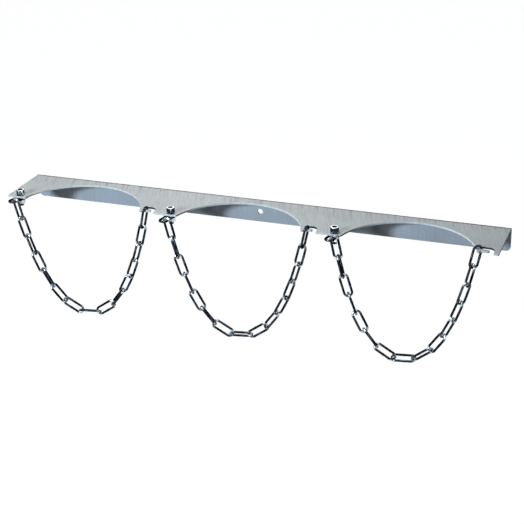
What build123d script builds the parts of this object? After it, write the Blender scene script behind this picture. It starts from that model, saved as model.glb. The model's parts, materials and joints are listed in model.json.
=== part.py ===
from build123d import *
from math import atan, cos, radians, sin, sqrt
import os

# Three-station wall bracket for gas cylinders: one folded sheet with a round recess for each
# cylinder, and a safety chain across the front of each recess. Millimetres.
# X runs along the wall, -Y points out of the wall, +Z is up. The origin lies on the back face of
# the flange, at the middle fixing hole.

# --- Sheet ---
stations = 3
sheet_thickness = 3.0
bend_inside_radius = 2.0
plate_depth = 104.0
flange_height = 39.0
flange_corner_radius = 7.0
corner_radius = 1.5
left_end_land = 20.5
right_end_land = 8.0

# --- Cylinder recess ---
recess_radius = 106.0
recess_centre_overhang = 25.0

# --- Wall fixing ---
fixing_hole_diameter = 9.0
fixing_hole_drop = 21.5
fixing_hole_pitch = 135.0

# --- Chain ---
links_per_chain = 15
link_wire = 3.8
link_inside_length = 32.6
link_inside_width = 8.4
link_gap = 0.9
link_facets = 12

# --- Hook for the free end of the chain ---
slot_depth = 19.5
slot_play = 4.2
hook_play = 1.9
hook_neck = 6.7
hook_length = 15.5
hook_mouth = 7.0
hook_heel = 3.4
slot_corner_radius = 10.0

# --- Screw that clamps the other end of the chain ---
screw_land = 11.5
screw_edge_distance = 6.5
screw_length = 20.0
screw_play = 0.3
screw_hole_diameter = 8.5
head_diameter = 13.0
head_height = 8.0
head_chamfer = 0.6
socket_size = 6.0
socket_depth = 4.0
spring_washer_diameter = 12.7
spring_washer_thickness = 2.0
spring_washer_split = 1.2
nut_across_flats = 13.0
nut_height = 6.5
thread_clearance = 0.05

# --- Clamped link at each station ---
# Its turn on the screw towards the left end, the reach of its middle from the screw, and how far
# along it the first hanging link sits.
clamp_turns = (18.0, 10.0, 14.0)
clamp_reaches = (5.3, 8.5, 2.6)
first_link_reaches = (17.4, 20.6, 11.8)

# --- How each chain hangs ---
# Every link is rolled a quarter about the chain from the one before it, plus a slow twist.
# A row holds the roll of the first link, then the (link, extra roll) knots of that twist.
chain_lays = (
    (26.0, ((1, 0), (5, 12), (8, -52), (12, 38), (15, 50))),
    (16.0, ((1, 0), (2, -25), (4, -40), (7, -32), (9, -8), (10, 18), (15, 59))),
    (10.0, ((1, 0), (4, -30), (6, -32), (9, 32), (10, 42), (15, 16))),
)
# The last link hangs on the tongue of the hook, or round its neck where this says so.
on_neck = (False, False, True)
tongue_seat = 6.5
seat_clearance = 0.4

# --- Worked out ---
plate_top = fixing_hole_drop
plate_bottom = plate_top - sheet_thickness
front_y = -plate_depth
recess_y = front_y - recess_centre_overhang


def recess_half_width(y):
    """Half the width of a recess at a given distance from the wall."""
    return sqrt(recess_radius**2 - (y - recess_y) ** 2)


slot_width = link_wire + slot_play
hook_width = link_inside_width - hook_play
slot_back_y = front_y + slot_depth
slot_y = slot_back_y - slot_width / 2
hook_back_y = slot_back_y - slot_width
hook_front_y = hook_back_y - hook_width
hook_y = hook_back_y - hook_width / 2
neck_left = recess_half_width(slot_y)
slot_left = neck_left + hook_neck
hook_tip = slot_left + hook_length
slot_right = hook_tip + hook_mouth
recess_right = recess_half_width(hook_front_y)

screw_offset = recess_half_width(front_y) + screw_land
screw_y = front_y + screw_edge_distance
shank_radius = link_inside_width / 2 - screw_play
head_bottom = plate_top + spring_washer_thickness
clamped_link_z = plate_bottom - link_wire / 2
nut_top = plate_bottom - link_wire

station_pitch = left_end_land + screw_offset + slot_right + right_end_land
bracket_length = stations * station_pitch
middle_to_left_end = bracket_length / 2
station_xs = [station_pitch * n + left_end_land + screw_offset - middle_to_left_end for n in range(stations)]
fixing_xs = [fixing_hole_pitch * (n - 1) for n in range(3)]

os.makedirs("parts", exist_ok=True)


def save(part, label):
    """Names a finished piece and writes it as its own STEP file."""
    part.label = label
    export_step(part, f"parts/{label}.step")


# --- Bracket ---
with BuildPart() as bracket:
    with BuildSketch(Plane.XY.offset(plate_top)):
        Rectangle(bracket_length, plate_depth, align=(Align.CENTER, Align.MAX))
    extrude(amount=-sheet_thickness)
    with BuildSketch(Plane.XZ):
        with Locations((0, plate_top)):
            Rectangle(bracket_length, flange_height, align=(Align.CENTER, Align.MAX))
    extrude(amount=sheet_thickness)

    long_edges = bracket.edges().filter_by(Axis.X)
    inner_bend = long_edges.sort_by_distance((0, -sheet_thickness, plate_bottom))[0]
    fillet(inner_bend, radius=bend_inside_radius)
    outer_bend = bracket.edges().filter_by(Axis.X).sort_by_distance((0, 0, plate_top))[0]
    fillet(outer_bend, radius=bend_inside_radius + sheet_thickness)
    flange_corners = bracket.edges().filter_by(Axis.Y).group_by(Axis.Z)[0]
    fillet(flange_corners, radius=flange_corner_radius)

    # The recesses, the hook slots and the screw holes go down through the plate.
    with BuildSketch(Plane.XY.offset(plate_top)):
        with Locations([(x, recess_y) for x in station_xs]):
            Circle(recess_radius)
    extrude(amount=-sheet_thickness, mode=Mode.SUBTRACT)

    for x in station_xs:
        with BuildSketch(Plane.XY.offset(plate_top)):
            with BuildLine():
                FilletPolyline(
                    (x + slot_right, front_y - slot_width),
                    (x + slot_right, slot_back_y),
                    (x + slot_left, slot_back_y),
                    (x + slot_left, hook_back_y),
                    (x + hook_tip, hook_back_y),
                    (x + hook_tip, hook_front_y),
                    (x + recess_right + 2 * hook_heel, hook_front_y),
                    (x + recess_right + hook_heel, hook_front_y - hook_heel),
                    (x, hook_front_y - hook_heel),
                    radius=(
                        slot_corner_radius,
                        slot_width * 0.48,
                        slot_width * 0.48,
                        hook_width * 0.48,
                        hook_width * 0.48,
                        corner_radius,
                        corner_radius,
                    ),
                )
                Polyline(
                    (x, hook_front_y - hook_heel),
                    (x, front_y - slot_width),
                    (x + slot_right, front_y - slot_width),
                )
            make_face()
        extrude(amount=-sheet_thickness, mode=Mode.SUBTRACT)

    with BuildSketch(Plane.XY.offset(plate_top)):
        with Locations([(x - screw_offset, screw_y) for x in station_xs]):
            Circle(screw_hole_diameter / 2)
    extrude(amount=-sheet_thickness, mode=Mode.SUBTRACT)

    front_corners = bracket.edges().filter_by(Axis.Z).group_by(Axis.Y)[0]
    fillet(front_corners, radius=corner_radius)

    with BuildSketch(Plane.XZ):
        with Locations([(x, 0) for x in fixing_xs]):
            Circle(fixing_hole_diameter / 2)
    extrude(amount=sheet_thickness, mode=Mode.SUBTRACT)
save(bracket.part, "bracket")


# --- Screws, spring washers and nuts, one of each at every station ---
screw_places = [(x - screw_offset, screw_y) for x in station_xs]
split_places = [(x, y + spring_washer_diameter / 2) for x, y in screw_places]

with BuildPart() as cap_screws:
    with BuildSketch(Plane.XY.offset(head_bottom)):
        with Locations(screw_places):
            Circle(head_diameter / 2)
    extrude(amount=head_height)
    chamfer(cap_screws.edges().group_by(Axis.Z)[-1], length=head_chamfer)
    with BuildSketch(Plane.XY.offset(head_bottom + head_height)):
        with Locations(screw_places):
            RegularPolygon(socket_size / 2, 6, major_radius=False)
    extrude(amount=-socket_depth, mode=Mode.SUBTRACT)
    with BuildSketch(Plane.XY.offset(head_bottom)):
        with Locations(screw_places):
            Circle(shank_radius)
    extrude(amount=-screw_length)
    chamfer(cap_screws.edges().group_by(Axis.Z)[0], length=head_chamfer)
save(cap_screws.part, "cap_screws")

with BuildPart() as spring_washers:
    with BuildSketch(Plane.XY.offset(plate_top)):
        with Locations(screw_places):
            Circle(spring_washer_diameter / 2)
            Circle(shank_radius + screw_play, mode=Mode.SUBTRACT)
        with Locations(split_places):
            Rectangle(spring_washer_split, spring_washer_diameter, mode=Mode.SUBTRACT)
    extrude(amount=spring_washer_thickness)
save(spring_washers.part, "spring_washers")

with BuildPart() as hex_nuts:
    with BuildSketch(Plane.XY.offset(nut_top)):
        with Locations(screw_places):
            RegularPolygon(nut_across_flats / 2, 6, major_radius=False)
            Circle(shank_radius + thread_clearance, mode=Mode.SUBTRACT)
    extrude(amount=-nut_height)
save(hex_nuts.part, "hex_nuts")


# --- Chain links ---
link_pitch = link_inside_length - link_gap
bend_spacing = link_inside_length - link_inside_width


def link_outline(half_width, mode=Mode.ADD):
    """An oval whose bends are made of straight facets."""
    with Locations((-bend_spacing / 2, 0), (bend_spacing / 2, 0)):
        RegularPolygon(half_width, link_facets, major_radius=False, rotation=180 / link_facets, mode=mode)
    Rectangle(bend_spacing, 2 * half_width, mode=mode)


with BuildPart() as chain_link:
    with BuildSketch():
        link_outline(link_inside_width / 2 + link_wire)
        link_outline(link_inside_width / 2, mode=Mode.SUBTRACT)
    extrude(amount=link_wire / 2, both=True)
    flat_faces = chain_link.faces().filter_by(Axis.Z)
    chamfer(flat_faces.edges(), length=link_wire * (1 - 1 / sqrt(2)))


def make_link(label, plane):
    """One welded link, centred on a plane, with its length along the plane's X."""
    with BuildPart() as link:
        with Locations(plane.location):
            add(chain_link.part)
    save(link.part, label)


def hanging_angles(count, span, rise):
    """Slopes of links hung between two points: the tangent of the slope grows evenly along them."""

    def slopes(steepness, lowest):
        return [atan(steepness * (n - lowest)) for n in range(count)]

    def lowest_link(steepness):
        low, high = -float(count), 2.0 * count
        for _ in range(60):
            middle = (low + high) / 2
            if link_pitch * sum(sin(a) for a in slopes(steepness, middle)) > rise:
                low = middle
            else:
                high = middle
        return (low + high) / 2

    slack, tight = 50.0, 0.001
    for _ in range(60):
        steepness = sqrt(slack * tight)
        angles = slopes(steepness, lowest_link(steepness))
        if link_pitch * sum(cos(a) for a in angles) < span:
            slack = steepness
        else:
            tight = steepness
    return angles


def twist_at(link, knots):
    """Extra roll of a link, read between the knots of its chain."""
    for (n0, t0), (n1, t1) in zip(knots, knots[1:]):
        if link <= n1:
            return t0 + (t1 - t0) * (link - n0) / (n1 - n0)
    return knots[-1][1]


def seat_rise(width):
    """How far the inside of a link's bend stands above a flat tongue of a given width."""
    bend = link_inside_width / 2
    return bend - sqrt(bend**2 - (width / 2) ** 2) + seat_clearance - link_gap / 2


for number, x in enumerate(station_xs, start=1):
    # The link that the screw clamps flat under the plate.
    turn = radians(clamp_turns[number - 1])
    out = Vector(-sin(turn), -cos(turn), 0)
    side = Vector(cos(turn), -sin(turn), 0)
    screw = Vector(x - screw_offset, screw_y, clamped_link_z)
    clamped_centre = screw + out * clamp_reaches[number - 1]
    make_link(f"clamped_link_{number}", Plane(clamped_centre, x_dir=out, z_dir=(0, 0, 1)))

    # The first link hangs on its right leg.
    leg = side * ((link_inside_width + link_wire) / 2)
    anchor = screw + out * first_link_reaches[number - 1] + leg + Vector(0, 0, (link_wire + link_gap) / 2)
    if on_neck[number - 1]:
        seat = Vector(x + neck_left + 0.7 * hook_neck, hook_back_y + 0.6, plate_top + seat_rise(hook_neck))
    else:
        seat = Vector(x + slot_left + tongue_seat, hook_y, plate_top + seat_rise(hook_width))

    # The chain hangs in the upright plane through those two places.
    across = Vector(seat.X - anchor.X, seat.Y - anchor.Y, 0)
    angles = hanging_angles(links_per_chain, across.length, seat.Z - anchor.Z)
    across = across.normalized()
    square = Vector(0, 0, 1).cross(across)
    first_roll, knots = chain_lays[number - 1]
    start = anchor
    for link, angle in enumerate(angles, start=1):
        along = across * cos(angle) + Vector(0, 0, 1) * sin(angle)
        roll = radians(first_roll + 90 * (link - 1) + twist_at(link, knots))
        flat = square * cos(roll) + along.cross(square) * sin(roll)
        middle = start + along * (link_pitch / 2)
        make_link(f"chain_{number}_link_{link:02d}", Plane(middle, x_dir=along, z_dir=flat))
        start = start + along * link_pitch
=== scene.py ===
# %% [markdown]
# # Three-station gas cylinder bracket
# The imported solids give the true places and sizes. This lesson dresses them: a folded, zinc-coated
# sheet, bright plated screws, and three chains of round wire links. Loading the frame first means
# that every new piece can be measured against its solid.

import json
import math

import bmesh
import bpy
import numpy as np
from mathutils import Matrix, Vector

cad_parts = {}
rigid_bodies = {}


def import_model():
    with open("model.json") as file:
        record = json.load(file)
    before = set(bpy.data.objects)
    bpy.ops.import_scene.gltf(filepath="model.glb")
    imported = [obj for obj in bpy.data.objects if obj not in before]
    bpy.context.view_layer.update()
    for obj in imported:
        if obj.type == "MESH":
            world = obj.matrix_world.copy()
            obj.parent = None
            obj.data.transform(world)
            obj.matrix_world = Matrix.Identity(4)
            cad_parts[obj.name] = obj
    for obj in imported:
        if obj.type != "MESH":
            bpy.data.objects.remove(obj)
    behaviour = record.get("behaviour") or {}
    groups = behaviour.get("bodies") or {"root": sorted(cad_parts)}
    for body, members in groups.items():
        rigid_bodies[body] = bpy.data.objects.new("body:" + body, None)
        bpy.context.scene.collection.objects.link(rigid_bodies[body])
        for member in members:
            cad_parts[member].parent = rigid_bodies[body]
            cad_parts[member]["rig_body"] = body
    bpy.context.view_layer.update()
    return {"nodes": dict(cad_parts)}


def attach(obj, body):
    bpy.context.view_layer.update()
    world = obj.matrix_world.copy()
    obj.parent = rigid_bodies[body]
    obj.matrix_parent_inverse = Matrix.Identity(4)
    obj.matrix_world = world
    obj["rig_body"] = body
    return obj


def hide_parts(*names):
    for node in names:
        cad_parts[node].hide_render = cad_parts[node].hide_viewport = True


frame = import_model()
nodes = frame["nodes"]
mm = 0.001

# %% [markdown]
# ## Camera
# A long lens from the right, a little above the plate, so that the long bracket keeps its shape.
# The turn is built from three plain rotations, because each can then be changed by itself: the
# heading round Z, the tilt down, and a small roll.

# %% Camera
camera_place = (0.6839, -1.7800, 0.7863)
camera_data = bpy.data.cameras.new("camera")
camera_data.lens = 87.4
camera_data.sensor_width = 36.0
camera_data.clip_end = 50.0
camera = bpy.data.objects.new("camera", camera_data)
bpy.context.scene.collection.objects.link(camera)
heading = Matrix.Rotation(math.radians(21.03), 4, "Z")
tilt = Matrix.Rotation(math.radians(65.29), 4, "X")
roll = Matrix.Rotation(math.radians(-1.69), 4, "Z")
camera.matrix_world = Matrix.Translation(camera_place) @ heading @ tilt @ roll
bpy.context.scene.camera = camera
bpy.context.scene.view_settings.view_transform = "Standard"
print("camera lens", camera_data.lens, "place", camera_place)

# %% [markdown]
# ## Helpers
# Every material below starts as one Principled shader joined to an output, and every piece as an
# object in the scene. Two small functions do this, so that the later cells only say what differs.


# %% Helpers for materials and objects
def new_material(name):
    """A node material, with its tree, its shader and its output."""
    material = bpy.data.materials.new(name)
    material.use_nodes = True
    tree = material.node_tree
    tree.nodes.clear()
    shader = tree.nodes.new("ShaderNodeBsdfPrincipled")
    output = tree.nodes.new("ShaderNodeOutputMaterial")
    tree.links.new(shader.outputs["BSDF"], output.inputs["Surface"])
    return material, tree, shader, output


def mesh_object(name, mesh):
    """A new object in the scene for a mesh."""
    thing = bpy.data.objects.new(name, mesh)
    bpy.context.scene.collection.objects.link(thing)
    return thing


# %% [markdown]
# ## White surroundings
# The object stands before plain white, but white walls that light it would wash out its shadows.
# The Light Path node tells rays apart: the camera and reflections see white, and soft light sees
# only a faint blue room. So metal mirrors the white that the camera sees.


# %% Room
def sees_background(tree):
    """A socket that is 1 for the camera, in reflections and through glass, else 0."""
    rays = tree.nodes.new("ShaderNodeLightPath")
    seen = rays.outputs["Is Camera Ray"]
    for kind in ("Is Glossy Ray", "Is Transmission Ray"):
        either = tree.nodes.new("ShaderNodeMath")
        either.operation = "MAXIMUM"
        tree.links.new(seen, either.inputs[0])
        tree.links.new(rays.outputs[kind], either.inputs[1])
        seen = either.outputs["Value"]
    return seen


world = bpy.data.worlds.new("studio")
bpy.context.scene.world = world
world.use_nodes = True
sky = world.node_tree
sky.nodes.clear()
room_mix = sky.nodes.new("ShaderNodeMixShader")
room_out = sky.nodes.new("ShaderNodeOutputWorld")
for slot, colour, strength in ((1, (0.48, 0.70, 1.0, 1), 0.08), (2, (1, 1, 1, 1), 1.0)):
    room = sky.nodes.new("ShaderNodeBackground")
    room.inputs["Color"].default_value = colour
    room.inputs["Strength"].default_value = strength
    sky.links.new(room.outputs["Background"], room_mix.inputs[slot])
sky.links.new(sees_background(sky), room_mix.inputs["Fac"])
sky.links.new(room_mix.outputs["Shader"], room_out.inputs["Surface"])
print("room nodes", len(sky.nodes))

# %% [markdown]
# ## Floor
# One large square, well below the chains, so that the shadow on it is faint and wide. Its dark
# paint sends little light up under the plate. The white of the floor is a glow of its own, which
# only the rays that see the background can see.

# %% Floor
floor_reach, floor_height = 20, -0.75
signs = ((-1, -1), (1, -1), (1, 1), (-1, 1))
corners = [(x * floor_reach, y * floor_reach, floor_height) for x, y in signs]
floor_mesh = bpy.data.meshes.new("floor")
floor_mesh.from_pydata(corners, [], [(0, 1, 2, 3)])
floor = mesh_object("floor", floor_mesh)
floor_paint, tree, shader, output = new_material("floor_paint")
shader.inputs["Base Color"].default_value = (0.10, 0.115, 0.13, 1)
shader.inputs["Roughness"].default_value = 0.9
shader.inputs["Specular IOR Level"].default_value = 0.0
glow = tree.nodes.new("ShaderNodeEmission")
glow.inputs["Color"].default_value = (1, 1, 1, 1)
glow_level = tree.nodes.new("ShaderNodeMath")
glow_level.operation = "MULTIPLY"
glow_level.inputs[1].default_value = 0.985
tree.links.new(sees_background(tree), glow_level.inputs[0])
tree.links.new(glow_level.outputs["Value"], glow.inputs["Strength"])
both = tree.nodes.new("ShaderNodeAddShader")
tree.links.new(shader.outputs["BSDF"], both.inputs[0])
tree.links.new(glow.outputs["Emission"], both.inputs[1])
tree.links.new(both.outputs["Shader"], output.inputs["Surface"])
floor.data.materials.append(floor_paint)
print("floor height", floor_height)

# %% [markdown]
# ## Lamps
# Square area lamps give soft shadows, as a studio's panels do. A cool key lamp from the left lights
# the flange, a warmer lamp hangs over the plate, and two weak ones reach the back and the chains.


# %% Lamps
def soft_lamp(name, place, target, size, power, colour=(1, 1, 1)):
    """A square area lamp at a place, turned towards a target."""
    data = bpy.data.lights.new(name, "AREA")
    data.shape = "SQUARE"
    data.size = size
    data.energy = power
    data.color = colour
    lamp = bpy.data.objects.new(name, data)
    bpy.context.scene.collection.objects.link(lamp)
    lamp.location = place
    lamp.rotation_euler = (Vector(target) - Vector(place)).to_track_quat("-Z", "Y").to_euler()
    print(name, power, "W")


soft_lamp("key_lamp", (-1.1, -2.4, 0.95), (0, 0, 0), 0.45, 62, (0.67, 0.83, 1.0))
soft_lamp("top_lamp", (-0.14, -0.1, 0.9), (-0.14, -0.05, 0), 0.6, 5.9, (1.0, 0.99, 0.95))
soft_lamp("back_lamp", (-0.8, 2.0, 0.95), (0, 0, 0), 0.8, 2.6)
soft_lamp("glint_lamp", (-0.2, -1.9, -0.64), (0, 0, 0), 0.16, 2.6)

# %% [markdown]
# ## Shared marks
# Zinc coating is never one flat grey. Two effects are built once as node groups, because all the
# metals here share them: a cloudy mottle, and the long fine streaks of rolled sheet and drawn wire.
# Each gives one number, Factor, that a material can use to tint its colour or its roughness. The
# object's own random number shifts the noise, so that no two links look the same.


# %% Start of a node group
def new_group(name, **own_values):
    """A group that maps noise from Start...End to Low...High, with some inputs of its own."""
    group = bpy.data.node_groups.new(name, "ShaderNodeTree")
    values = {"Start": 0.3, "End": 0.7, "Low": 0.9, "High": 1.1, **own_values}
    number = "NodeSocketFloat"
    for label, value in values.items():
        socket = group.interface.new_socket(name=label, in_out="INPUT", socket_type=number)
        socket.default_value = value
    group.interface.new_socket(name="Factor", in_out="OUTPUT", socket_type=number)
    start, end = group.nodes.new("NodeGroupInput"), group.nodes.new("NodeGroupOutput")
    noise = group.nodes.new("ShaderNodeTexNoise")
    levels = group.nodes.new("ShaderNodeMapRange")
    group.links.new(noise.outputs["Fac"], levels.inputs["Value"])
    pairs = (("Start", "From Min"), ("End", "From Max"), ("Low", "To Min"), ("High", "To Max"))
    for label, target in pairs:
        group.links.new(start.outputs[label], levels.inputs[target])
    group.links.new(levels.outputs["Result"], end.inputs["Factor"])
    print("node group", name)
    return group, start, noise


# %% [markdown]
# ### Mottle
# Plain noise in the object's own coordinates. It needs no unwrapping, and it stays on the piece
# when the piece moves.

# %% Mottle
mottle, start, noise = new_group("zinc_mottle", Scale=60.0, Start=0.35, End=0.65)
noise.inputs["Detail"].default_value = 5.0
noise.inputs["Roughness"].default_value = 0.6
place = mottle.nodes.new("ShaderNodeTexCoord")
own = mottle.nodes.new("ShaderNodeObjectInfo")
shift = mottle.nodes.new("ShaderNodeVectorMath")
shift.operation = "ADD"
mottle.links.new(place.outputs["Object"], shift.inputs[0])
mottle.links.new(own.outputs["Random"], shift.inputs[1])
mottle.links.new(shift.outputs["Vector"], noise.inputs["Vector"])
mottle.links.new(start.outputs["Scale"], noise.inputs["Scale"])
print("mottle nodes", len(mottle.nodes))

# %% [markdown]
# ### Streaks
# The same noise, pulled out along Y and Z: the coordinates are multiplied by a large number across
# the streaks and a small one along them. Turn swings the streaks round Z.

# %% Streaks
streaks, start, noise = new_group("rolled_streaks", Turn=0.0, Across=900.0, Along=12.0)
noise.inputs["Scale"].default_value = 1.0
noise.inputs["Detail"].default_value = 4.0
noise.inputs["Roughness"].default_value = 0.65
place = streaks.nodes.new("ShaderNodeTexCoord")
own = streaks.nodes.new("ShaderNodeObjectInfo")
angle = streaks.nodes.new("ShaderNodeCombineXYZ")
turned_place = streaks.nodes.new("ShaderNodeMapping")
pull = streaks.nodes.new("ShaderNodeCombineXYZ")
stretch = streaks.nodes.new("ShaderNodeVectorMath")
stretch.operation = "MULTIPLY"
streaks.links.new(start.outputs["Turn"], angle.inputs["Z"])
streaks.links.new(place.outputs["Object"], turned_place.inputs["Vector"])
streaks.links.new(angle.outputs["Vector"], turned_place.inputs["Rotation"])
streaks.links.new(own.outputs["Random"], turned_place.inputs["Location"])
for axis, label in (("X", "Across"), ("Y", "Along"), ("Z", "Along")):
    streaks.links.new(start.outputs[label], pull.inputs[axis])
streaks.links.new(turned_place.outputs["Vector"], stretch.inputs[0])
streaks.links.new(pull.outputs["Vector"], stretch.inputs[1])
streaks.links.new(stretch.outputs["Vector"], noise.inputs["Vector"])
print("streak nodes", len(streaks.nodes))

# %% [markdown]
# ## Steps with numbers
# A finish is a chain of short steps, each one node. As functions they let each finish read like a
# recipe. These put out numbers: the marks of a group, a product, a ramp, and a place on the object.


# %% Steps with numbers
def marks(tree, group, **values):
    """The Factor socket of one use of a node group, with its own values."""
    node = tree.nodes.new("ShaderNodeGroup")
    node.node_tree = group
    for label, value in values.items():
        node.inputs[label].default_value = value
    return node.outputs["Factor"]


def times(tree, a, b):
    """The product of a number socket and a number or a second socket."""
    node = tree.nodes.new("ShaderNodeMath")
    node.operation = "MULTIPLY"
    tree.links.new(a, node.inputs[0])
    if isinstance(b, float):
        node.inputs[1].default_value = b
    else:
        tree.links.new(b, node.inputs[1])
    return node.outputs["Value"]


def ramp(tree, value, start, end, low=0.0, high=1.0):
    """A number that runs from low to high while another runs from start to end."""
    node = tree.nodes.new("ShaderNodeMapRange")
    tree.links.new(value, node.inputs["Value"])
    levels = {"From Min": start, "From Max": end, "To Min": low, "To Max": high}
    for label, number in levels.items():
        node.inputs[label].default_value = number
    return node.outputs["Result"]


def place_on_object(tree, axis):
    """One coordinate of the surface in the object's own axes, in metres."""
    place = tree.nodes.new("ShaderNodeTexCoord")
    split = tree.nodes.new("ShaderNodeSeparateXYZ")
    tree.links.new(place.outputs["Object"], split.inputs["Vector"])
    return split.outputs[axis]


# %% [markdown]
# ## Steps with colours
# The last steps put out colours. One makes a colour lighter or darker by a number, one blends two
# colours, and one joins the result to the shader. Colours are three numbers, so tinting is the same
# as scaling a vector.


# %% Steps with colours
def tinted(tree, colour, factor):
    """A colour made lighter or darker by a number socket."""
    node = tree.nodes.new("ShaderNodeVectorMath")
    node.operation = "SCALE"
    node.inputs[0].default_value = colour
    tree.links.new(factor, node.inputs["Scale"])
    return node.outputs["Vector"]


def mixed(tree, share, a, b):
    """A blend of two colour sockets. On this node, 0 is the share, and 6 and 7 are the colours."""
    node = tree.nodes.new("ShaderNodeMix")
    node.data_type = "RGBA"
    for socket, source in ((0, share), (6, a), (7, b)):
        tree.links.new(source, node.inputs[socket])
    return node.outputs[2]


def set_finish(tree, shader, colour, roughness, metallic, specular=0.5):
    """Joins a colour and a roughness socket to a shader, and sets its plain values."""
    tree.links.new(colour, shader.inputs["Base Color"])
    tree.links.new(roughness, shader.inputs["Roughness"])
    shader.inputs["Metallic"].default_value = metallic
    shader.inputs["Specular IOR Level"].default_value = specular


# %% [markdown]
# ## Top of the sheet
# Galvanised sheet is satin grey, with fine rolled grain and a soft cloud. Darker streaks fade in
# towards the wall, and a narrow band of dark dashes runs along the start of the bend. All of it
# depends on the place on the sheet, so no painting is needed.

# %% Top of the sheet
sheet_zinc, tree, shader, output = new_material("sheet_zinc")
cloud = marks(tree, mottle, Scale=9.0, Low=0.92, High=1.08)
grain = marks(tree, streaks, Turn=math.radians(-20), Across=420.0, Along=34.0, Low=0.86, High=1.11)
dark_streak_shape = {"Turn": math.radians(-16), "Across": 260.0, "Along": 9.0, "Start": 0.52, "End": 0.66}
dark_streaks = marks(tree, streaks, **dark_streak_shape, Low=0.0, High=0.42)
from_wall = place_on_object(tree, "Y")
darkening_starts, darkening_full = -45 * mm, -8 * mm
darkening_near_wall = times(tree, dark_streaks, ramp(tree, from_wall, darkening_starts, darkening_full))
lightness_near_wall = ramp(tree, darkening_near_wall, 0.0, 1.0, 1.0, 0.0)
coat = tinted(tree, (0.485, 0.50, 0.49), times(tree, times(tree, grain, cloud), lightness_near_wall))
dashes = marks(tree, streaks, Across=90.0, Along=8.0, Low=0.05, High=0.70)
dash_colour = tinted(tree, (0.30, 0.30, 0.29), dashes)
band_start = ramp(tree, from_wall, -8.0 * mm, -6.8 * mm)
band_end = ramp(tree, from_wall, -4.8 * mm, -4.2 * mm, 1.0, 0.0)
colour = mixed(tree, times(tree, band_start, band_end), coat, dash_colour)
set_finish(tree, shader, colour, times(tree, cloud, 0.50), 0.03, 0.15)
bump = tree.nodes.new("ShaderNodeBump")
bump.inputs["Strength"].default_value = 0.15
bump.inputs["Distance"].default_value = 0.0002
tree.links.new(grain, bump.inputs["Height"])
tree.links.new(bump.outputs["Normal"], shader.inputs["Normal"])
print("sheet finish nodes", len(tree.nodes))

# %% [markdown]
# ## Front of the wall flange
# The flange is the same sheet, but its streaks stand upright. It gets a material of its own, so
# that its grain can differ from the plate's. Its colour is also a little darker and bluer than the
# plate's, as painted shade under the plate. One cloud drives both the colour and the roughness.

# %% Front of the wall flange
flange_zinc, tree, shader, output = new_material("flange_zinc")
grain = marks(tree, streaks, Across=300.0, Along=12.0, Low=0.93, High=1.07)
cloud = marks(tree, mottle, Scale=12.0, Low=0.92, High=1.08)
# Slightly darker and bluer than the plate: painted shade.
colour = tinted(tree, (0.46, 0.485, 0.50), times(tree, grain, cloud))
set_finish(tree, shader, colour, times(tree, cloud, 0.50), 0.03, 0.15)
print("flange finish nodes", len(tree.nodes))

# %% [markdown]
# ## Edges of the sheet
# The outer edges were sheared, and are matt. Their near-white colour is mostly a painted highlight:
# the line of light that a cut edge catches. The back walls of the hook slots and the right end are
# near black, as painted shade. Both are the same recipe with other values, so one function makes
# them.


# %% Bright and dark edges
def edge_finish(name, colour, scale, low, high, roughness):
    """A matt, mottled edge."""
    material, tree, shader, output = new_material(name)
    cloud = marks(tree, mottle, Scale=scale, Low=low, High=high)
    set_finish(tree, shader, tinted(tree, colour, cloud), times(tree, cloud, roughness), 0.0, 0.1)
    print("edge finish", name)
    return material


# Near white: mostly a painted highlight along the cut walls.
cut_edge = edge_finish("cut_edge", (0.84, 0.82, 0.79), 180.0, 0.85, 1.10, 0.50)
# Near black: painted shade on the slot walls and the right end.
bare_edge = edge_finish("bare_edge", (0.030, 0.036, 0.042), 220.0, 0.6, 1.3, 0.55)

# %% [markdown]
# ## Chain wire
# Bright plated wire mirrors the dark side of a room along its straight legs, and catches bright
# glints at the bends. The studio here has no dark side, so colours that follow the place along the
# link are a painted reflection: dark legs with a few painted glints, and painted highlights at the
# bends. They stay put when the view changes, which a true reflection would not. The links that are
# clamped or lie on a hook get much weaker painted highlights at their bends.


# %% Chain wire
def plated(tree, shader, colour, roughness, scale):
    """Glossy plating over a colour, with a broken roughness and dark grazing reflections."""
    cloud = marks(tree, mottle, Scale=scale, Low=0.8, High=1.2)
    set_finish(tree, shader, colour, times(tree, cloud, roughness), 1.0)
    # The dark tint at grazing angles is a painted dark reflection.
    shader.inputs["Specular Tint"].default_value = (0.05, 0.07, 0.09, 1)


def wire_finish(name, bend_highlight_level):
    """Plated wire with a painted reflection: dark legs, and painted highlights at the bends as
    bright as the given level.
    """
    material, tree, shader, output = new_material(name)
    glint_shape = {"Across": 55.0, "Along": 520.0, "Start": 0.50, "End": 0.72}
    painted_glints = marks(tree, streaks, **glint_shape, Low=0.5, High=12.0)
    # The legs are a painted dark reflection, with a few painted glints.
    legs_painted_reflection = tinted(tree, (0.009, 0.012, 0.016), painted_glints)
    low, high = 0.05 * bend_highlight_level, 1.3 * bend_highlight_level
    # The bends are a painted highlight in patches, as bright as the given level.
    bend_highlight_patches = marks(tree, mottle, Scale=260.0, Start=0.42, End=0.60, Low=low, High=high)
    bends_painted_highlight = tinted(tree, (0.52, 0.60, 0.66), bend_highlight_patches)
    from_middle = tree.nodes.new("ShaderNodeMath")
    from_middle.operation = "ABSOLUTE"
    tree.links.new(place_on_object(tree, "X"), from_middle.inputs[0])
    leg_ends, bend_begins = 12.5 * mm, 16.5 * mm
    at_bend = ramp(tree, from_middle.outputs["Value"], leg_ends, bend_begins)
    plated(tree, shader, mixed(tree, at_bend, legs_painted_reflection, bends_painted_highlight), 0.24, 600.0)
    print("wire finish", name)
    return material


wire_zinc = wire_finish("wire_zinc", 1.0)
# A copy with much weaker painted highlights at the bends.
seated_zinc = wire_finish("seated_zinc", 0.12)
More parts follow.
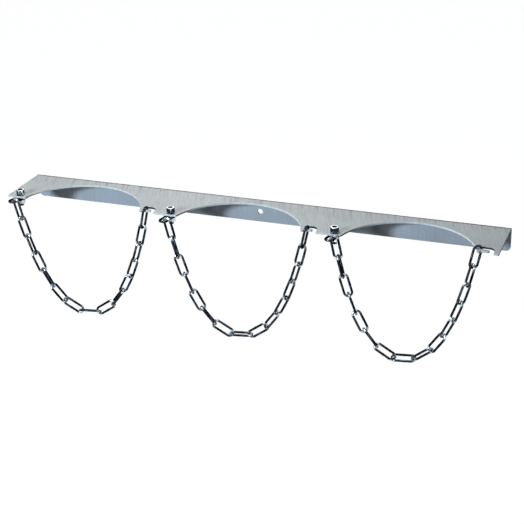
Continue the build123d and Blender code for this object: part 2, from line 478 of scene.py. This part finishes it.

# %% [markdown]
# ## Sides of the screws
# A plated screw is dark round its knurled side, where it mirrors a dark room. The room here is
# white, so the dark colour is a painted reflection. The side would also mirror a studio's tall panel
# as a bright stripe. A lamp of that size would fill the shadows, so a pattern of a few upright
# bright marks, fixed to the screw, is a painted highlight that stands in for the stripe.

# %% Sides of the screws
screw_zinc, tree, shader, output = new_material("screw_zinc")
patch = marks(tree, mottle, Scale=300.0, Low=0.6, High=1.7)
stripe_shape = {"Across": 210.0, "Along": 45.0, "Start": 0.545, "End": 0.62}
stripe_mask = marks(tree, streaks, **stripe_shape, Low=0.0, High=1.0)
# Painted dark reflection round the side, and a painted highlight in upright stripes.
side_painted_reflection = tinted(tree, (0.014, 0.027, 0.040), patch)
stripe_painted_highlight = tinted(tree, (0.62, 0.70, 0.76), patch)
plated(tree, shader, mixed(tree, stripe_mask, side_painted_reflection, stripe_painted_highlight), 0.24, 900.0)
print("screw side nodes", len(tree.nodes))

# %% [markdown]
# ## Inside of the sockets
# The key's hole is deep and narrow, so hardly any light comes back out of it. The solid hole alone
# would still show pale walls, so they get a nearly black, matt colour as well.

# %% Inside of the sockets
socket_dark, tree, shader, output = new_material("socket_dark")
cloud = marks(tree, mottle, Scale=700.0, Low=0.5, High=1.5)
tree.links.new(tinted(tree, (0.012, 0.013, 0.015), cloud), shader.inputs["Base Color"])
shader.inputs["Roughness"].default_value = 0.8
shader.inputs["Specular IOR Level"].default_value = 0.1
print("socket finish nodes", len(tree.nodes))

# %% [markdown]
# ## Bright faces
# The tops of the screws, the flat faces of the washers and the whole of the nuts mirror the white
# room, so plain pale metal is enough. The mottle keeps the plating from looking like chrome.

# %% Bright faces of screws, washers and nuts
bright_zinc, tree, shader, output = new_material("bright_zinc")
patch = marks(tree, mottle, Scale=300.0, Low=0.75, High=1.15)
cloud = marks(tree, mottle, Scale=900.0, Low=0.8, High=1.2)
set_finish(tree, shader, tinted(tree, (0.72, 0.77, 0.80), patch), times(tree, cloud, 0.28), 1.0)
print("materials", len(bpy.data.materials))

# %% [markdown]
# ## Sizes of the sheet
# All three stations are alike, so one station is described once and repeated. The places along the
# wall follow from the edge of the round recess: it is found by its radius at a given distance from
# the wall, and the hook and the screw keep fixed distances from it. Sizes are in millimetres.

# %% Sizes of the sheet
station_count = 3
recess_radius, recess_y = 106.0, -129.0
front_y = -104.0
plate_top = 21.5
sheet = 3.0
plate_bottom = plate_top - sheet
flange_foot = plate_top - 39.0
flange_corner = 7.0
wall_hole_radius, wall_hole_pitch = 4.5, 135.0
screw_y, screw_hole_radius = -97.5, 4.25
left_land, right_land, screw_land = 20.5, 8.0, 11.5
hook_neck, hook_length, hook_mouth = 6.7, 15.5, 7.0
slot_back_y, slot_front_y, tongue_front_y = -84.5, -92.5, -99.0


def recess_half_width(y):
    """Half the width of a recess at a distance from the wall."""
    return math.sqrt(recess_radius**2 - (y - recess_y) ** 2)


slot_left = recess_half_width((slot_back_y + slot_front_y) / 2) + hook_neck
tongue_tip = slot_left + hook_length
slot_right = tongue_tip + hook_mouth
heel = recess_half_width(tongue_front_y)
screw_offset = recess_half_width(front_y) + screw_land
station_pitch = left_land + screw_offset + slot_right + right_land
half_length = station_count / 2 * station_pitch
first_station = left_land + screw_offset - half_length
stations = [first_station + station_pitch * n for n in range(station_count)]
print("stations", stations, "half length", half_length)

# %% [markdown]
# ## Outlines
# A punch is an outline pushed straight through the sheet. Corners are rounded by arithmetic, each
# with its own radius, because a Bevel modifier would give them all the same one.


# %% Outlines
def rounded(corners, steps=10):
    """A closed outline through (x, y, radius) corners, each turned with its own radius."""
    outline = []
    for n, (x, y, radius) in enumerate(corners):
        here = Vector((x, y))
        before = Vector(corners[n - 1][:2]) - here
        after = Vector(corners[(n + 1) % len(corners)][:2]) - here
        if radius == 0:
            outline.append(tuple(here))
            continue
        before.normalize()
        after.normalize()
        half_turn = before.angle(after) / 2
        reach = radius / math.tan(half_turn)
        centre = here + (before + after).normalized() * (radius / math.sin(half_turn))
        first = here + before * reach - centre
        last = here + after * reach - centre
        swing = first.angle_signed(last)
        for step in range(steps + 1):
            angle = -swing * step / steps
            c, s = math.cos(angle), math.sin(angle)
            x, y = centre.x + first.x * c - first.y * s, centre.y + first.x * s + first.y * c
            outline.append((x, y))
    return outline


def circle(x, y, radius, steps):
    """A closed round outline."""
    turns = [2 * math.pi * n / steps for n in range(steps)]
    return [(x + radius * math.cos(turn), y + radius * math.sin(turn)) for turn in turns]


# %% [markdown]
# ## Straight-sided solids
# Meshes are built in bmesh, which keeps loose corners and faces until they are written to a mesh.
# A punch is two copies of an outline, joined by a band of faces.


# %% Straight-sided solids
def add_corner(shape, x, y, z):
    """A new corner of a bmesh, at a place in millimetres."""
    return shape.verts.new((x * mm, y * mm, z * mm))


def close_rings(shape, low, high):
    """Joins two rings of corners with a band of faces."""
    for n in range(len(low)):
        m = (n + 1) % len(low)
        shape.faces.new((low[n], low[m], high[m], high[n]))


def add_prism(shape, outline, low, high, upright=True):
    """Adds a straight-sided tool to a bmesh. Upright tools run along Z, the others along Y."""
    rings = []
    for level in (low, high):
        places = [(x, y, level) if upright else (x, level, y) for x, y in outline]
        rings.append([add_corner(shape, *place) for place in places])
        shape.faces.new(rings[-1])
    close_rings(shape, *rings)


def finished_mesh(shape, name):
    """Turns a bmesh into a mesh with all its faces looking outwards."""
    bmesh.ops.recalc_face_normals(shape, faces=shape.faces)
    mesh = bpy.data.meshes.new(name)
    shape.to_mesh(mesh)
    shape.free()
    return mesh


# %% [markdown]
# ## Cutting with a solid
# A punch or a drill takes metal away, which is what a Boolean modifier does. It is applied at once,
# so that the next step starts from a plain mesh and the tool can be thrown away.


# %% Cutting with a solid
def apply_modifiers(thing):
    """Bakes an object's modifiers into its mesh."""
    solved = thing.evaluated_get(bpy.context.evaluated_depsgraph_get())
    mesh = bpy.data.meshes.new_from_object(solved)
    thing.modifiers.clear()
    thing.data = mesh


def cut(thing, tool, how="DIFFERENCE"):
    """Applies one boolean tool to an object, and removes the tool."""
    step = thing.modifiers.new("cut", "BOOLEAN")
    step.operation = how
    step.solver = "EXACT"
    step.use_self = True
    step.object = tool
    apply_modifiers(thing)
    bpy.data.objects.remove(tool)


# %% [markdown]
# ## The folded sheet
# On the bench this is one blank: punched, then folded once. Here the folded section is swept along
# the wall first, because the punches are easier to place on the finished shape, and the fold stays
# one clean arc.

# %% Sweep the folded section
fold_steps = 10
inside_radius = 2.0
outside_radius = inside_radius + sheet


def fold_point(radius, share):
    """A point of the bend, from the flange at 0 to the plate at 1."""
    angle = math.pi / 2 * share
    y = radius * math.cos(angle) - outside_radius
    z = plate_top - outside_radius + radius * math.sin(angle)
    return y, z


section = [(0.0, flange_foot)]
section += [fold_point(outside_radius, step / fold_steps) for step in range(fold_steps + 1)]
section += [(front_y, plate_top), (front_y, plate_bottom)]
section += [fold_point(inside_radius, 1 - step / fold_steps) for step in range(fold_steps + 1)]
section.append((-sheet, flange_foot))
shape = bmesh.new()
ends = []
for side in (-1, 1):
    ends.append([add_corner(shape, side * half_length, y, z) for y, z in section])
    shape.faces.new(ends[-1])
close_rings(shape, *ends)
folded_sheet = mesh_object("folded_sheet", finished_mesh(shape, "folded_sheet"))
print("section corners", len(section))

# %% [markdown]
# ## Punches in the plate
# At each station one round recess, one screw hole, and one slot that leaves the open hook: a tongue
# that points right, on a neck beside the recess. The punches are longer than the sheet is thick, so
# that no thin skin is left.

# %% Punches in the plate
tool_levels = (plate_bottom - 2, plate_top + 2)
hook_levels = (plate_bottom - 3, plate_top + 3)
clear_of_front = front_y - 8
heel_slope = 3.4
land_y = tongue_front_y - heel_slope
inside_recess = 60
mouth_corner, slot_corner, tongue_corner, heel_corner = 10.0, 3.84, 3.12, 1.5
shape = bmesh.new()
for x in stations:
    add_prism(shape, circle(x, recess_y, recess_radius, 320), *tool_levels)
    hook = [
        (x + slot_right, clear_of_front, 0),
        (x + slot_right, slot_back_y, mouth_corner),
        (x + slot_left, slot_back_y, slot_corner),
        (x + slot_left, slot_front_y, slot_corner),
        (x + tongue_tip, slot_front_y, tongue_corner),
        (x + tongue_tip, tongue_front_y, tongue_corner),
        (x + heel + 2 * heel_slope, tongue_front_y, heel_corner),
        (x + heel + heel_slope, land_y, heel_corner),
        (x + inside_recess, land_y, 0),
        (x + inside_recess, clear_of_front, 0),
    ]
    add_prism(shape, rounded(hook), *hook_levels)
    add_prism(shape, circle(x - screw_offset, screw_y, screw_hole_radius, 40), *tool_levels)
cut(folded_sheet, mesh_object("punches", finished_mesh(shape, "punches")))
print("sheet faces", len(folded_sheet.data.polygons))

# %% [markdown]
# ## Wall holes and lower corners
# Three holes in a row take the wall screws. A corner punch with a hollow quarter circle rounds each
# lower corner of the flange. All these tools run along Y, so that one cut takes them together.

# %% Wall holes and lower corners
shape = bmesh.new()
for n in (-1, 0, 1):
    hole = circle(n * wall_hole_pitch, 0, wall_hole_radius, 64)
    add_prism(shape, hole, -sheet - 2, 2, upright=False)
corner_steps = 16
for side in (-1, 1):
    middle_x, middle_z = half_length - flange_corner, flange_foot + flange_corner
    corner = []
    for step in range(corner_steps + 1):
        angle = math.pi / 2 * step / corner_steps
        x = side * (middle_x + flange_corner * math.sin(angle))
        corner.append((x, middle_z - flange_corner * math.cos(angle)))
    past_end, past_foot = side * (half_length + 3), flange_foot - 3
    corner += [(past_end, middle_z), (past_end, past_foot), (side * middle_x, past_foot)]
    add_prism(shape, corner, -sheet - 1, 1, upright=False)
cut(folded_sheet, mesh_object("wall_hole_punches", finished_mesh(shape, "wall_hole_punches")))
print("sheet faces", len(folded_sheet.data.polygons))

# %% [markdown]
# ## Rounded front corners
# The upright edges at the front are rounded for the hand. They are found by their place: both ends
# on the front line, and as tall as the sheet. First, corners that the cuts left double are merged.

# %% Rounded front corners
shape = bmesh.new()
shape.from_mesh(folded_sheet.data)
bmesh.ops.remove_doubles(shape, verts=shape.verts, dist=0.01 * mm)
front_corners = []
for edge in shape.edges:
    a, b = (vert.co for vert in edge.verts)
    on_front = abs(a.y - front_y * mm) < 0.02 * mm and abs(b.y - front_y * mm) < 0.02 * mm
    if on_front and abs(a.z - b.z) > 2 * mm:
        front_corners.append(edge)
bmesh.ops.bevel(shape, geom=front_corners, offset=1.5 * mm, segments=6, affect="EDGES", profile=0.5)
flat_angle = math.radians(0.3)
bmesh.ops.dissolve_limit(shape, angle_limit=flat_angle, verts=shape.verts, edges=shape.edges)
print("front corners", len(front_corners))
folded_sheet.data = finished_mesh(shape, "folded_sheet")

# %% [markdown]
# ## Broken edges
# A real sheared edge always catches a line of light. A narrow Bevel modifier gives it one, and
# Weighted Normals then keeps the large flat faces evenly shaded.


# %% Broken edges
def smooth_by_angle(thing, degrees=32):
    """Smooth shading, with sharp edges where faces turn more than an angle."""
    thing.data.polygons.foreach_set("use_smooth", [True] * len(thing.data.polygons))
    thing.data.set_sharp_from_angle(angle=math.radians(degrees))


breaks = folded_sheet.modifiers.new("broken_edges", "BEVEL")
breaks.width = 0.25 * mm
breaks.segments = 2
breaks.limit_method = "ANGLE"
breaks.angle_limit = math.radians(40)
breaks.use_clamp_overlap = False
breaks.material = -1
apply_modifiers(folded_sheet)
smooth_by_angle(folded_sheet, 50)
even = folded_sheet.modifiers.new("even_normals", "WEIGHTED_NORMAL")
even.keep_sharp = True
even.weight = 100
apply_modifiers(folded_sheet)
print("sheet faces after the edges", len(folded_sheet.data.polygons))

# %% [markdown]
# ## Finishes on the sheet
# Each face gets its finish from where it lies and which way it looks: the top and the bend keep the
# zinc, the walls of the cuts become edges, and the front of the flange has its own grain.

# %% Finishes on the sheet
folded_sheet.data.materials.clear()
for finish in (sheet_zinc, cut_edge, flange_zinc, bare_edge):
    folded_sheet.data.materials.append(finish)


def in_slot(face):
    """True on the back wall of a slot, which looks out past the tongue."""
    x = face.center.x / mm
    beside = any(slot_left - 2 < x - station < slot_right + 1 for station in stations)
    return beside and face.normal.y < -0.3 and face.center.y > slot_front_y * mm


# Index 1 is mostly a painted highlight on the cut walls, index 3 painted shade on the slot walls and
# the right end.
for face in folded_sheet.data.polygons:
    upright = abs(face.normal.z) < 0.6
    on_plate = face.center.z > plate_bottom * mm and face.center.y < -6 * mm
    on_end = abs(face.normal.x) > 0.6
    on_foot = face.normal.z < -0.6 and face.center.z < 0
    on_right_end = face.center.x > (half_length - 1) * mm
    on_flange = face.normal.y < -0.8 and face.center.z < (plate_top - 5) * mm
    if upright and (on_right_end or (on_plate and in_slot(face))):
        face.material_index = 3
    elif (upright and on_plate) or on_end or on_foot:
        face.material_index = 1
    elif on_flange:
        face.material_index = 2
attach(folded_sheet, "frame")
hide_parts("bracket")
# Counts the faces that carry the painted shade.
print("painted shade faces", sum(face.material_index == 3 for face in folded_sheet.data.polygons))

# %% [markdown]
# ## Turned shapes
# Screws and nuts are round blanks first, so they are made the same way here: a short profile of
# radii and heights is swung round Z. A profile that starts and ends on the axis closes the solid.


# %% Turned shapes
def turned(name, profile, steps=48):
    """A solid turned round Z from (radius, height) points that start and end on the axis."""
    shape = bmesh.new()
    rings = []
    for radius, height in profile:
        outline = [(0, 0)] if radius == 0 else circle(0, 0, radius, steps)
        rings.append([add_corner(shape, x, y, height) for x, y in outline])
    for low, high in zip(rings, rings[1:]):
        if len(low) == len(high):
            close_rings(shape, low, high)
            continue
        point, ring = (low[0], high) if len(low) == 1 else (high[0], low)
        for n in range(steps):
            shape.faces.new((point, ring[n], ring[(n + 1) % steps]))
    return mesh_object(name, finished_mesh(shape, name))


# %% [markdown]
# ## Body of the cap screw
# A socket head cap screw goes down through the plate and the clamped link into a plain nut. Its
# thread is a stack of plain rings, not a helix: they look the same from a step away, and they close
# on themselves.

# %% Body of the cap screw
washer_height, head_height, screw_length = 2.0, 8.0, 20.0
head_radius, thread_radius, thread_root, thread_pitch = 6.5, 3.9, 3.42, 1.25
head_foot = plate_top + washer_height
head_top = head_foot + head_height
tip = head_foot - screw_length
profile = [(0, tip), (3.1, tip), (thread_radius, tip + 0.8)]
level = tip + 1.2
while level < head_foot - 1.6:
    profile += [(thread_radius, level), (thread_root, level + 0.5), (thread_root, level + 0.7)]
    level += thread_pitch
profile += [(thread_radius, head_foot - 0.4), (4.1, head_foot), (6.2, head_foot)]
profile += [(head_radius, head_foot + 0.3), (head_radius, head_top - 0.9)]
profile += [(6.35, head_top - 0.4), (6.0, head_top - 0.1)]
profile += [(5.7, head_top), (0, head_top)]
cap_screw = turned("cap_screw", profile, 72)
print("screw from", tip, "to", head_top)

# %% [markdown]
# ## Socket and knurls
# The socket is a hexagonal hole with a turned mouth, both taken away as tools. The knurls come from
# thin upright rods round the head, which leave a groove each.


# %% Socket and knurls
def hexagon(across):
    """Corners of a hexagon of a width across its flats."""
    return circle(0, 0, across / math.sqrt(3), 6)


socket_across, socket_depth = 6.0, 4.0
mouth_floor, mouth_rim = head_top - 0.9, head_top + 0.2
knurl_count, knurl_circle, knurl_radius = 36, 6.62, 0.2
shape = bmesh.new()
add_prism(shape, hexagon(socket_across), head_top - socket_depth, head_top + 2)
cut(cap_screw, mesh_object("socket", finished_mesh(shape, "socket")))
mouth = [(0, mouth_floor), (3.1, mouth_floor), (4.2, mouth_rim), (0, mouth_rim)]
cut(cap_screw, turned("countersink", mouth))
shape = bmesh.new()
for x, y in circle(0, 0, knurl_circle, knurl_count):
    add_prism(shape, circle(x, y, knurl_radius, 6), head_foot + 0.9, head_top - 1.4)
cut(cap_screw, mesh_object("knurls", finished_mesh(shape, "knurls")))
smooth_by_angle(cap_screw)
print("cap screw faces", len(cap_screw.data.polygons))

# %% [markdown]
# ## Spring washer
# A split ring of nearly square wire, with a slight rise from one end to the other. Its section is
# carried round in steps, and the two ends are closed, which leaves the split open.

# %% Spring washer
washer_steps = 56
washer_start, washer_turn, washer_rise = 96, 348, 0.12
washer_section = [(4.2, 0.05), (6.2, 0.0), (6.35, 0.15), (6.35, 1.85), (6.2, 2.0), (4.2, 1.95)]
shape = bmesh.new()
rings = []
for step in range(washer_steps + 1):
    share = step / washer_steps
    angle = math.radians(washer_start + washer_turn * share)
    rise = washer_rise * (share - 0.5)
    ring = []
    for radius, height in washer_section:
        z = plate_top + min(max(height + rise, 0), washer_height)
        ring.append(add_corner(shape, radius * math.cos(angle), radius * math.sin(angle), z))
    rings.append(ring)
for low, high in zip(rings, rings[1:]):
    close_rings(shape, low, high)
shape.faces.new(rings[0])
shape.faces.new(rings[-1])
spring_washer = mesh_object("spring_washer", finished_mesh(shape, "spring_washer"))
smooth_by_angle(spring_washer)
print("washer faces", len(spring_washer.data.polygons))

# %% [markdown]
# ## Nut
# A nut is a turned blank with chamfered rims that is then milled to six flats. Keeping only what
# lies inside both shapes gives the curved line where each flat meets the chamfer.

# %% Nut
link_thickness, nut_height, nut_across, nut_bore = 3.8, 6.5, 13.0, 3.95
rim_radius, blank_radius, chamfer = 6.2, 7.6, 0.75
nut_top = plate_bottom - link_thickness
nut_foot = nut_top - nut_height
blank = [(0, nut_foot), (rim_radius, nut_foot), (blank_radius, nut_foot + chamfer)]
blank += [(blank_radius, nut_top - chamfer), (rim_radius, nut_top), (0, nut_top)]
hex_nut = turned("hex_nut", blank, 96)
shape = bmesh.new()
add_prism(shape, hexagon(nut_across), nut_foot - 1, nut_top + 1)
cut(hex_nut, mesh_object("nut_flats", finished_mesh(shape, "nut_flats")), "INTERSECT")
shape = bmesh.new()
add_prism(shape, circle(0, 0, nut_bore, 48), nut_foot - 2, nut_top + 2)
cut(hex_nut, mesh_object("nut_bore", finished_mesh(shape, "nut_bore")))
smooth_by_angle(hex_nut, 24)
print("nut faces", len(hex_nut.data.polygons))

# %% [markdown]
# ## Finishes on the fasteners
# One screw shows three finishes: a bright top, a side painted dark as a reflection and a socket
# painted black as shade. The finish is chosen from how high a face lies, how far out, and which way
# it looks, so no face is picked by hand.


# %% Finishes on the fasteners
def fastener_finish(pattern, face):
    """Which finish a face gets: 0 bright, 1 side painted dark as a reflection, 2 socket painted dark
    as shade.
    """
    if pattern is spring_washer:
        return 1 if abs(face.normal.z) < 0.5 else 0
    if pattern is hex_nut:
        return 0
    out = math.hypot(face.center.x, face.center.y)
    near_top = face.center.z > (head_top - 4.5) * mm
    below_top = face.center.z < (head_top - 0.05) * mm
    if near_top and below_top and 0.1 * mm < out < 4.25 * mm:
        return 2
    if face.normal.z > 0.4 and face.center.z > (head_top - 1) * mm:
        return 0
    return 2 if near_top and out < 3.7 * mm else 1


# %% [markdown]
# ## One set at every station
# Each fastener is finished once, and the three stations share its mesh. A small turn at each
# station keeps the sockets and the splits from pointing the same way.

# %% One set at every station
fasteners = (
    (cap_screw, "cap_screws", 14),
    (spring_washer, "spring_washers", 40),
    (hex_nut, "hex_nuts", 0),
)
for pattern, node, turn in fasteners:
    pattern.data.materials.clear()
    for finish in (bright_zinc, screw_zinc, socket_dark):
        pattern.data.materials.append(finish)
    for face in pattern.data.polygons:
        face.material_index = fastener_finish(pattern, face)
    for n, x in enumerate(stations, start=1):
        thing = mesh_object(f"{pattern.name}_{n}", pattern.data)
        place = Matrix.Translation(((x - screw_offset) * mm, screw_y * mm, 0))
        thing.matrix_world = place @ Matrix.Rotation(math.radians(turn * n), 4, "Z")
        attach(thing, "frame")
        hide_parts(node)
    bpy.data.objects.remove(pattern)
print("fasteners", len(fasteners) * len(stations))

# %% [markdown]
# ## A chain link
# A welded link is round wire bent into a long ring: two straight legs and two half-round ends. A
# ring of corners is carried along the middle of the wire, which keeps the wire round everywhere.
# On one leg it swells a little, where the link was welded.

# %% Sizes of a link
wire_radius = 1.9 * mm
leg_offset = 6.1 * mm
bend_spacing = 24.2 * mm
weld_swell, weld_reach = 0.22 * mm, 1.6 * mm
bend_steps, leg_steps, wire_steps = 20, 10, 16
print("link length mm", round((bend_spacing / 2 + leg_offset + wire_radius) * 2 / mm, 2))

# %% [markdown]
# ## Line of the link
# The middle of the wire is worked out first: a half turn, a straight leg, and the same again the
# other way round. Each point also keeps the direction that points out of the ring.


# %% Line of the link
def link_line():
    """Points along the middle of the wire, with the outward direction at each."""
    points = []
    for end in (1, -1):
        for step in range(bend_steps):
            angle = math.pi * (step / bend_steps) - math.pi / 2
            outward = Vector((math.cos(angle), math.sin(angle), 0)) * end
            middle = Vector((end * bend_spacing / 2, 0, 0))
            points.append((middle + outward * leg_offset, outward))
        outward = Vector((0, 1, 0)) * end
        for step in range(leg_steps):
            along = end * bend_spacing * (0.5 - step / leg_steps)
            points.append((Vector((along, 0, 0)) + outward * leg_offset, outward))
    return points


print("points along the link", len(link_line()))

# %% [markdown]
# ## Wire round the line
# Every point of the line gets a round of corners, and each round is joined to the next. The mesh is
# made once. A copy with the darker finish, whose painted highlights at the bends are weak, serves
# the links that are clamped or lie on a hook.


# %% Wire round the line
def make_link_mesh(name):
    """The wire carried along the link's line, with a low weld ring on one leg."""
    verts, faces = [], []
    for place, outward in link_line():
        radius = wire_radius
        if outward.y < -0.99:
            radius += weld_swell * math.exp(-((place.x / weld_reach) ** 2))
        for step in range(wire_steps):
            angle = 2 * math.pi * step / wire_steps
            up = Vector((0, 0, radius * math.sin(angle)))
            verts.append(place + outward * radius * math.cos(angle) + up)
    count = len(verts) // wire_steps
    for ring in range(count):
        here, there = ring * wire_steps, (ring + 1) % count * wire_steps
        for step in range(wire_steps):
            side = (step + 1) % wire_steps
            faces.append((here + step, there + step, there + side, here + side))
    mesh = bpy.data.meshes.new(name)
    mesh.from_pydata(verts, [], faces)
    mesh.polygons.foreach_set("use_smooth", [True] * len(faces))
    mesh.update()
    return mesh


link_mesh = make_link_mesh("wire_link")
link_mesh.materials.append(wire_zinc)
seated_mesh = link_mesh.copy()
seated_mesh.name = "seated_link"
seated_mesh.materials[0] = seated_zinc
print("link faces", len(link_mesh.polygons))

# %% [markdown]
# ## The chains
# The chains already hang in the frame as solids, so nothing is settled again here. The place and
# the turn of each link are read from its solid: its corners spread furthest along its length, then
# across its width. All the links share two meshes, which keeps the file small.


# %% A wire link at every solid link
def solid_axes(node_name):
    """Middle of a solid, and its axes from the longest to the shortest."""
    corners = np.array([v.co for v in nodes[node_name].data.vertices])
    middle = corners.mean(0)
    axes = np.linalg.svd(corners - middle, full_matrices=False)[2]
    return middle, axes


link_names = [name for name in sorted(nodes) if "link" in name]
for name in link_names:
    middle, axes = solid_axes(name)
    length, width = Vector(axes[0]), Vector(axes[1])
    seated = name.startswith("clamped") or name.endswith("15")
    thing = mesh_object("wire_" + name, seated_mesh if seated else link_mesh)
    turn = Matrix((length, width, length.cross(width))).transposed().to_4x4()
    thing.matrix_world = Matrix.Translation(middle) @ turn
    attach(thing, nodes[name]["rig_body"])
    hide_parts(name)
print("links", len(link_names))
